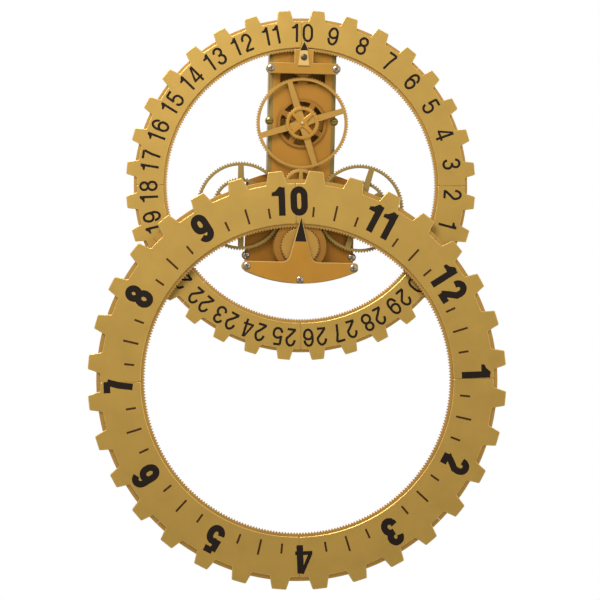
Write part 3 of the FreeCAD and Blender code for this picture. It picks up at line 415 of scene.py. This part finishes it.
# Shares of the head's height
WALL_SHARE = 0.3
SKIRT_SHARE = 0.45
RECESS_FLOOR = 0.35
RECESS_TOPS = (1.5, 1.6)

# Shares of the head's radius
CROSS_LENGTH = 1.25
SLOT_LENGTH = 2.4
RECESS_WIDTH = 0.22

# Turns of the recesses in degrees, and the slant from which a face is part of the rim, which has painted shade and
# dark reflection
FIRST_TURN = 20
NEXT_TURN = 35
RIM_SLANT = 0.66


def lathe(bm, profile):
    """Turn a profile of radius and height about the Z axis, closed on the axis at both ends."""
    rows = []
    for radius, height in profile:
        if radius == 0:
            rows.append([bm.verts.new((0, 0, height))] * SCREW_SIDES)
            continue
        rows.append([
            bm.verts.new((radius * math.cos(turn), radius * math.sin(turn), height))
            for turn in (2 * math.pi * side / SCREW_SIDES for side in range(SCREW_SIDES))
        ])
    for low, high in zip(rows, rows[1:]):
        for side in range(SCREW_SIDES):
            ring = (low[side - 1], low[side], high[side], high[side - 1])
            corners = list(dict.fromkeys(ring))
            if len(corners) > 2:
                bm.faces.new(corners)
    bmesh.ops.recalc_face_normals(bm, faces=bm.faces)


def mesh_object(name, bm):
    """Plain object that holds a bmesh."""
    mesh = bpy.data.meshes.new(name)
    bm.to_mesh(mesh)
    bm.free()
    thing = bpy.data.objects.new(name, mesh)
    bpy.context.scene.collection.objects.link(thing)
    return thing


def plain_screw(radius, shank_length):
    """Screw without a recess, which points to +Z, with its head's seat at height 0."""
    profile = [(0, -shank_length), (SHANK_RADIUS, -shank_length), (SHANK_RADIUS, 0), (radius, 0)]
    for degrees in range(QUARTER_TURN, 0, -DOME_STEP):
        turn = math.radians(degrees)
        dome = WALL_SHARE + (1 - WALL_SHARE) * math.cos(turn)
        profile.append((radius * math.sin(turn), HEAD_HEIGHT * dome))
    profile.append((0, HEAD_HEIGHT))
    bm = bmesh.new()
    lathe(bm, profile)
    return mesh_object("screw_head", bm)


def recess(radius, slotted):
    """Bars that cut a slot or a cross into a screw's head."""
    width = radius * RECESS_WIDTH
    if slotted:
        bars = [(radius * SLOT_LENGTH, width)]
    else:
        bars = [(radius * CROSS_LENGTH, width), (width, radius * CROSS_LENGTH)]
    bm = bmesh.new()
    for (across, up), top in zip(bars, RECESS_TOPS):
        bar = bmesh.ops.create_cube(bm, size=1.0)
        for vert in bar["verts"]:
            vert.co.x *= across
            vert.co.y *= up
            vert.co.z = HEAD_HEIGHT * (RECESS_FLOOR if vert.co.z < 0 else top)
    return mesh_object("screw_recess", bm)


def screw_mesh(radius, shank_length, slotted):
    """Mesh of a screw with its recess cut."""
    base = plain_screw(radius, shank_length)
    cutter = recess(radius, slotted)
    boolean = base.modifiers.new("recess", "BOOLEAN")
    boolean.operation = "DIFFERENCE"
    boolean.solver = "EXACT"
    boolean.use_self = True
    boolean.object = cutter
    bpy.context.view_layer.update()
    graph = bpy.context.evaluated_depsgraph_get()
    result = bpy.data.meshes.new_from_object(base.evaluated_get(graph))
    for thing in (base, cutter):
        bpy.data.objects.remove(thing)
    return result


def loose_boxes(node):
    """Low and high corner of each separate solid of a node."""
    bm = node_mesh(node)
    left = set(bm.verts)
    boxes = []
    while left:
        reached = [left.pop()]
        for vert in reached:
            for edge in vert.link_edges:
                other = edge.other_vert(vert)
                if other in left:
                    left.remove(other)
                    reached.append(other)
        boxes.append((
            Vector([min(vert.co[axis] for vert in reached) for axis in range(3)]),
            Vector([max(vert.co[axis] for vert in reached) for axis in range(3)]),
        ))
    bm.free()
    return sorted(boxes, key=lambda box: (box[0].x, box[0].z))


def screws(node, slotted=False, head_height=HEAD_HEIGHT):
    """Screws with formed heads in the place of a node's plain ones."""
    boxes = loose_boxes(node)
    first_low, first_high = boxes[0]
    radius = (first_high.x - first_low.x) / 2
    shank_length = first_high.y - first_low.y - head_height
    shape = screw_mesh(radius, shank_length, slotted)
    forwards = Matrix.Rotation(math.radians(90), 4, "X")
    squat = Matrix.Scale(head_height / HEAD_HEIGHT, 4, (0, 0, 1))
    bm = bmesh.new()
    for number, (low, high) in enumerate(boxes):
        turn = math.radians(0 if slotted else FIRST_TURN + NEXT_TURN * number)
        seat = Vector(((low.x + high.x) / 2, low.y + head_height, (low.z + high.z) / 2))
        lay = Matrix.Translation(seat) @ forwards @ Matrix.Rotation(turn, 4, "Z")
        before = len(bm.verts)
        bm.from_mesh(shape)
        bm.verts.ensure_lookup_table()
        for vert in bm.verts[before:]:
            if vert.co.z > 0:
                vert.co = squat @ vert.co
            vert.co = lay @ vert.co
    piece = finish_mesh(node + "_finished", bm)
    stands_for(piece, node)
    # Painted shade and dark reflection: sideways faces and the back of each head darker
    skirt = first_low.y + head_height * SKIRT_SHARE
    tint_faces(
        piece, lambda face: abs(face.normal.y) < RIM_SLANT or face.center.y > skirt, "shaded_screw_rim"
    )


screws("bridge_screws")
screws("lower_plate_screws")
screws("body_plate_screws")
screws("column_side_screws", slotted=True)
screws("date_pointer_screw", head_height=POINTER_HEAD_HEIGHT)


# Printed numerals, ticks and pointer tips, as thin raised ink

PRINT_THICKNESS = 0.12 * MM
INK_DEPTH = 1.5 * PRINT_THICKNESS

# Real sizes, with the middle measured from the ring's centre. The widths of 1 and 4, the weight
# of a 4's thin strokes and the cap, which is the height of end curves, are shares
HOUR_NUMERAL = {
    "middle": 247.6 * MM, "height": 40.8 * MM, "width": 23.8 * MM, "stroke": 9.1 * MM, "gap": 4.8 * MM,
    "cap": 0.27, "tail_start": 22,
    "one": 0.74, "flag": 9.4 * MM, "flag_stroke": 4.6 * MM, "flag_drop": 8 * MM,
    "four": 1.15, "four_weight": 0.58,
}
DATE_NUMERAL = {
    "middle": 211.3 * MM, "height": 25.6 * MM, "width": 14.6 * MM, "stroke": 3.3 * MM, "gap": 3.9 * MM,
    "cap": 0.36, "tail_start": 0,
    "one": 0.74, "flag": 5.4 * MM, "flag_stroke": 2.2 * MM, "flag_drop": 4.6 * MM,
    "four": 1.0, "four_weight": 0.9,
}

# Where each ring's number 10 stands at rest, from which the other marks are counted
HOUR_TEN_ANGLE = math.radians(93.3)
DATE_TEN_ANGLE = math.radians(90.65)
HOURS = 12
DAYS = 31
TICK_WIDTH = 2.8 * MM
TICK_SPANS = ((226.5 * MM, 240.4 * MM), (225.5 * MM, 247 * MM), (226.5 * MM, 240.4 * MM))

# Parts of the figures, in a box one wide and one high
LINE_END = 0.12
WAIST = 0.53
STEM_OF_ONE = 0.70
ROUND_STEPS = 24

# Flat drawing: limits in millimetres, the limit of a line's mitre, and the triangulation's kind,
# which keeps the triangles between the shapes until ink_faces leaves them out
SAME_POINT = 1e-6
CLOSED_LINE = 1e-4
MESH_TOLERANCE = 1e-4
EVERY_TRIANGLE = 0
MITRE_LIMIT = 0.6


def arc(across, up, radius_across, radius_up, start, end, steps=12):
    """Points of an ellipse between two angles in degrees."""
    points = []
    for step in range(steps + 1):
        angle = math.radians(start + (end - start) * step / steps)
        points.append((across + radius_across * math.cos(angle), up + radius_up * math.sin(angle)))
    return points


def digit_lines(digit, cap, tail_start):
    """Centre lines of a digit, with end curves as high as cap and a 6 that starts at an angle."""
    bowl = min(cap, (1 - WAIST) / 2)
    low_bowl = min(cap, WAIST / 2)
    if digit == 0:
        return [arc(0.5, 1 - cap, 0.5, cap, 0, 180) + arc(0.5, cap, 0.5, cap, 180, 360) + [(1, 1 - cap)]]
    if digit == 1:
        return [[(STEM_OF_ONE, -LINE_END), (STEM_OF_ONE, 1 + LINE_END)]]
    if digit == 2:
        hook = arc(0.5, 1 - cap, 0.5, cap, 180, 0)
        return [hook + [(0.97, 0.56), (0.5, 0.30), (0.06, 0.02)], [(-0.02, 0.0), (1.0, 0.0)]]
    if digit == 3:
        top = arc(0.5, 1 - bowl, 0.47, bowl, 180, -90)
        low = arc(0.5, low_bowl, 0.5, low_bowl, 90, -180)
        return [top + [(0.34, 1 - 2 * bowl)], [(0.34, 2 * low_bowl)] + low]
    if digit == 4:
        stem = [(0.80, -LINE_END), (0.80, 1 + LINE_END)]
        return [stem, [(0.70, 1.15), (0.0, 0.25)], [(-0.14, 0.23), (1.16, 0.23)]]
    if digit == 5:
        bow = arc(0.5, 0.60 - bowl, 0.5, bowl, 140, 0) + arc(0.5, low_bowl, 0.5, low_bowl, 0, -180)
        return [[(0.10, 1.0), (0.94, 1.0)], [(0.13, 1.0), (0.06, 0.46)], bow]
    if digit in (6, 9):
        loop = arc(0.5, cap, 0.5, cap, 180, 360) + arc(0.5, 0.60 - bowl, 0.5, bowl, 0, 180)
        tail = arc(0.5, 1 - cap, 0.5, cap, tail_start, 180) + [(0.0, cap)]
        lines = [loop + [(0.0, cap)], tail]
        if digit == 9:
            lines = [[(1 - across, 1 - up) for across, up in line] for line in lines]
        return lines
    if digit == 7:
        return [[(-0.04, 1.0), (1.0, 1.0)], [(0.98, 0.98), (0.66, 0.50), (0.46, -LINE_END)]]
    upper = arc(0.5, 1 - bowl, 0.46, bowl, 0, 360, ROUND_STEPS)
    lower = arc(0.5, low_bowl, 0.5, low_bowl, 0, 360, ROUND_STEPS)
    return [upper, lower]


def ribbon(points, width):
    """Four-sided faces of a line drawn with a pen of that width."""
    apart = [
        point for point, before in zip(points[1:], points) if (point - before).length > SAME_POINT
    ]
    points = points[:1] + apart
    closed = (points[0] - points[-1]).length < CLOSED_LINE
    if closed:
        points = points[:-1]
    count = len(points)
    rows = []
    for index, point in enumerate(points):
        before = points[index - 1] if closed or index else None
        after = points[(index + 1) % count] if closed or index + 1 < count else None
        inward = (point - before).normalized() if before is not None else (after - point).normalized()
        outward = (after - point).normalized() if after is not None else inward
        line = (inward + outward).normalized()
        side = Vector((-line.y, line.x))
        reach = width / 2 / max(MITRE_LIMIT, math.cos(inward.angle(outward) / 2))
        rows.append((point + side * reach, point - side * reach))
    if closed:
        rows.append(rows[0])
    return [(a, b, d, c) for (a, b), (c, d) in zip(rows, rows[1:])]


def flag_shape(stem, top, style):
    """Flag of a figure one, which leaves its stem to the left, under the top of the figure."""
    stroke, reach = style["stroke"] / MM, style["flag"] / MM
    drop, thick = style["flag_drop"] / MM, style["flag_stroke"] / MM
    corners = (
        (stem + stroke * 0.5, top), (stem + stroke * 0.1, top),
        (stem - reach * 0.45, top - drop * 0.72), (stem - reach, top - drop),
        (stem - reach, top - drop - thick), (stem + stroke * 0.5, top - drop - thick),
    )
    return [Vector(corner) for corner in corners]


def number_shapes(text, style):
    """Faces of a number, centred on its own middle, in millimetres."""
    height, width, stroke, gap = (style[key] / MM for key in ("height", "width", "stroke", "gap"))
    top = height / 2
    room_of = {"1": style["one"], "4": style["four"]}
    rooms = [width * room_of.get(letter, 1.0) for letter in text]
    left_edge = -(sum(rooms) + gap * (len(text) - 1)) / 2
    shapes = []
    for letter, room in zip(text, rooms):
        start = left_edge + stroke / 2
        inner = room - stroke
        for index, line in enumerate(digit_lines(int(letter), style["cap"], style["tail_start"])):
            weight = style["four_weight"] if letter == "4" and index else 1.0
            points = [
                Vector((start + across * inner, (up - 0.5) * (height - stroke))) for across, up in line
            ]
            for face in ribbon(points, stroke * weight):
                shapes.append([Vector((corner.x, min(max(corner.y, -top), top))) for corner in face])
        if letter == "1":
            shapes.append(flag_shape(start + STEM_OF_ONE * inner - stroke / 2, top, style))
        left_edge += room + gap
    return shapes


def holds(shape, point):
    """Whether a flat shape has a point inside it."""
    inside = False
    for near, far in zip(shape, list(shape[1:]) + [shape[0]]):
        if (near.y > point.y) != (far.y > point.y):
            crossing = near.x + (point.y - near.y) * (far.x - near.x) / (far.y - near.y)
            inside = inside != (point.x < crossing)
    return inside


def ink_faces(bm, shapes, place):
    """Add overlapping flat shapes, given in millimetres, to a mesh as one area."""
    corners = []
    edges = []
    for shape in shapes:
        first = len(corners)
        count = len(shape)
        edges += [(first + index, first + (index + 1) % count) for index in range(count)]
        corners += shape
    points, _, cells, _, _, _ = delaunay_2d_cdt(corners, edges, [], EVERY_TRIANGLE, MESH_TOLERANCE)
    verts = {}
    for cell in cells:
        middle = sum((points[index] for index in cell), Vector((0, 0))) / len(cell)
        if not any(holds(shape, middle) for shape in shapes):
            continue
        for index in cell:
            if index not in verts:
                verts[index] = bm.verts.new(place(points[index] * MM))
        bm.faces.new([verts[index] for index in cell])


def on_ring(axis, front, angle, middle=0.0):
    """Function that lays a flat point on a ring's face, with its top outwards."""
    outward = Vector((math.cos(angle), 0, math.sin(angle)))
    onward = Vector((math.sin(angle), 0, -math.cos(angle)))
    centre = Vector((0, front - PRINT_THICKNESS, axis))

    def place(point):
        return centre + outward * (middle + point.y) + onward * point.x

    return place


def ink_piece(name, bm, body, material="ink"):
    """Flat ink shapes given their thickness, riding on a body."""
    bmesh.ops.recalc_face_normals(bm, faces=bm.faces)
    for face in bm.faces:
        if face.normal.y > 0:
            face.normal_flip()
    grown = bmesh.ops.extrude_face_region(bm, geom=list(bm.faces))
    moved = [item for item in grown["geom"] if isinstance(item, bmesh.types.BMVert)]
    bmesh.ops.translate(bm, verts=moved, vec=(0, INK_DEPTH, 0))
    bmesh.ops.recalc_face_normals(bm, faces=bm.faces)
    piece = finish_mesh(name, bm)
    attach(piece, body)
    dress(piece, material)


for hour in range(1, HOURS + 1):
    angle = HOUR_TEN_ANGLE - 2 * math.pi * (hour - 10) / HOURS
    bm = bmesh.new()
    place = on_ring(HOUR_AXIS, HOUR_FRONT, angle, HOUR_NUMERAL["middle"])
    ink_faces(bm, number_shapes(str(hour), HOUR_NUMERAL), place)
    ink_piece("hour_numeral_%d" % hour, bm, "hour_ring")

bm = bmesh.new()
for hour in range(HOURS):
    for quarter, (inner, outer) in enumerate(TICK_SPANS, start=1):
        angle = HOUR_TEN_ANGLE - 2 * math.pi * (hour + quarter / 4) / HOURS
        line = [Vector((0, inner / MM)), Vector((0, outer / MM))]
        ink_faces(bm, ribbon(line, TICK_WIDTH / MM), on_ring(HOUR_AXIS, HOUR_FRONT, angle))
ink_piece("hour_ticks", bm, "hour_ring", "tick_ink")

bm = bmesh.new()
for day in range(1, DAYS + 1):
    angle = DATE_TEN_ANGLE + 2 * math.pi * (day - 10) / DAYS
    place = on_ring(DATE_AXIS, DATE_FRONT, angle, DATE_NUMERAL["middle"])
    ink_faces(bm, number_shapes(str(day), DATE_NUMERAL), place)
ink_piece("date_numerals", bm, "date_ring")


def pointer_tip(name, node, length, half_base, inset):
    """Black triangle printed on the end of a pointer."""
    low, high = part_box(node)
    apex = high.z - inset
    front = low.y - PRINT_THICKNESS
    bm = bmesh.new()
    corners = ((0.0, apex), (half_base, apex - length), (-half_base, apex - length))
    bm.faces.new([bm.verts.new((across, front, up)) for across, up in corners])
    ink_piece(name, bm, BODY_OF[node])


pointer_tip("date_pointer_tip", "date_pointer", length=12.0 * MM, half_base=5.6 * MM, inset=0.4 * MM)
pointer_tip("hour_pointer_tip", "hour_pointer_plate", length=33.0 * MM, half_base=7.8 * MM, inset=2.1 * MM)


# CAD nodes in their finish, hidden ones too

for node, thing in frame["nodes"].items():
    dress(thing, finish_of(node))


# Studio, in metres and watts

WHITE = (1, 1, 1, 1)
FLOOR_DROP = 0.35
FLOOR_SIZE = 4.4
FLOOR_COLOR = (240, 240, 238)
FLOOR_GLOW = 0.6
WORLD_LIGHT = 0.11
SEEN_WORLD = 1.0


def floor():
    """Plain pale floor under the clock."""
    bpy.ops.mesh.primitive_plane_add(size=FLOOR_SIZE, location=(0, 0, cad_box[0][2] - FLOOR_DROP))
    plane = bpy.context.object
    plane.name = "floor"
    material = surface(
        "floor_paint", FLOOR_COLOR, metallic=0.0, roughness=0.8, variation=0.01, patch=2.0
    )
    nodes = material.node_tree.nodes
    links = material.node_tree.links
    path = nodes.new("ShaderNodeLightPath")
    glow = nodes.new("ShaderNodeMapRange")
    glow.inputs["To Max"].default_value = FLOOR_GLOW
    links.new(path.outputs["Is Camera Ray"], glow.inputs["Value"])
    shader = nodes["Principled BSDF"]
    shader.inputs["Emission Color"].default_value = WHITE
    links.new(glow.outputs["Result"], shader.inputs["Emission Strength"])
    plane.data.materials.append(material)


def backdrop():
    """White world, which also lights the clock a little."""
    world = bpy.data.worlds.new("studio")
    bpy.context.scene.world = world
    world.use_nodes = True
    nodes = world.node_tree.nodes
    links = world.node_tree.links
    background = nodes["Background"]
    background.inputs["Color"].default_value = WHITE
    path = nodes.new("ShaderNodeLightPath")
    seen = path.outputs["Is Camera Ray"]
    for ray in ("Is Glossy Ray", "Is Transmission Ray"):
        either = nodes.new("ShaderNodeMath")
        either.operation = "MAXIMUM"
        links.new(seen, either.inputs[0])
        links.new(path.outputs[ray], either.inputs[1])
        seen = either.outputs["Value"]
    strength = nodes.new("ShaderNodeMapRange")
    strength.inputs["To Min"].default_value = WORLD_LIGHT
    strength.inputs["To Max"].default_value = SEEN_WORLD
    links.new(seen, strength.inputs["Value"])
    links.new(strength.outputs["Result"], background.inputs["Strength"])


def lamp(name, location, size, power):
    """Soft box that faces the middle of the date ring."""
    light = bpy.data.lights.new(name, "AREA")
    light.shape = "SQUARE"
    light.size = size
    light.energy = power
    thing = bpy.data.objects.new(name, light)
    thing.location = location
    aim = Vector((0, 0, DATE_AXIS)) - Vector(location)
    thing.rotation_euler = aim.to_track_quat("-Z", "Y").to_euler()
    bpy.context.scene.collection.objects.link(thing)


floor()
backdrop()
lamp("key", location=(-0.5, -1.3, 0.75), size=0.8, power=25)
lamp("fill", location=(1.2, -2.0, 0.2), size=1.6, power=4)


# Camera, which shows the width of the photo's frame, with the clock rolled a little in it

FRAME_WIDTH = 829.2 * MM
SENSOR_WIDTH = 36.0
CAMERA_DISTANCE = 5.0
CAMERA_TURN = math.radians(-3.0)
CAMERA_ROLL = math.radians(1.2)
CAMERA_TARGET = Vector((1.0 * MM, HOUR_FRONT, HOUR_AXIS + 111.0 * MM))


def camera():
    """Camera in front of the clock, at the photo's scale and roll."""
    data = bpy.data.cameras.new("camera")
    data.sensor_width = SENSOR_WIDTH
    data.lens = CAMERA_DISTANCE * SENSOR_WIDTH / FRAME_WIDTH
    thing = bpy.data.objects.new("camera", data)
    turned = Matrix.Rotation(CAMERA_TURN, 4, "Z")
    thing.location = CAMERA_TARGET + turned @ Vector((0, -CAMERA_DISTANCE, 0))
    upright = turned @ Matrix.Rotation(math.radians(90), 4, "X")
    rolled = upright @ Matrix.Rotation(CAMERA_ROLL, 4, "Z")
    thing.rotation_euler = rolled.to_euler()
    bpy.context.scene.collection.objects.link(thing)
    bpy.context.scene.camera = thing


camera()
bpy.context.scene.view_settings.view_transform = "Standard"

bpy.context.view_layer.update()
